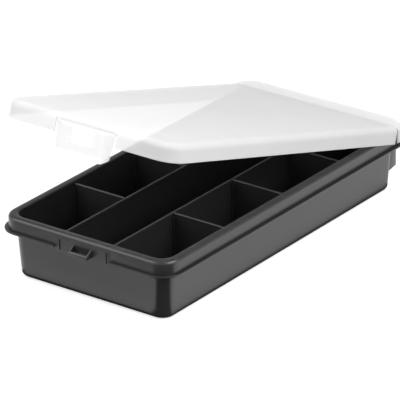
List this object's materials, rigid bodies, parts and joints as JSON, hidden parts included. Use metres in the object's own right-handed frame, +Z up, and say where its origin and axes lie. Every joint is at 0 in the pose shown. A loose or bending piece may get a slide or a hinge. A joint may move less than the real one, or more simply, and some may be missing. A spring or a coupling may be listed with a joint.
{
  "type": "compartment organizer",
  "caption": "Shallow open tray with upright divider plates in rib guides, and a milky hinged lid with a hanging snap clasp.",
  "frame": {"origin": "centre of the tray's flat underside", "axes": "+Z up, +Y along the length towards the hinged end, +X across the width"},
  "size_m": [0.1418, 0.2846, 0.1246],
  "materials": {
    "charcoal_plastic": "satin moulded polypropylene, charcoal",
    "milky_plastic": "smooth translucent polypropylene, milky white"
  },
  "bodies": {
    "tray": {"tray": "charcoal_plastic", "long_divider_left": "charcoal_plastic", "long_divider_right": "charcoal_plastic", "cross_divider_left_front": "charcoal_plastic", "cross_divider_left_middle": "charcoal_plastic", "cross_divider_left_rear": "charcoal_plastic", "cross_divider_right_front": "charcoal_plastic", "cross_divider_right_middle": "charcoal_plastic", "cross_divider_right_rear": "charcoal_plastic", "lid_rear_strip": "milky_plastic"},
    "lid": {"lid_panel": "milky_plastic"},
    "clasp": {"lid_clasp": "milky_plastic"}
  },
  "joints": [
    {"name": "lid_hinge", "type": "hinge", "parent": "tray", "child": "lid", "pos_m": [0, 0.1245, 0.0496], "axis": [-1, 0, 0], "range_deg": [-16.7, 133.3]},
    {"name": "clasp_hinge", "type": "hinge", "parent": "lid", "child": "clasp", "pos_m": [0, -0.13028, 0.12291], "axis": [-1, 0, 0], "range_deg": [0, 85]}
  ]
}
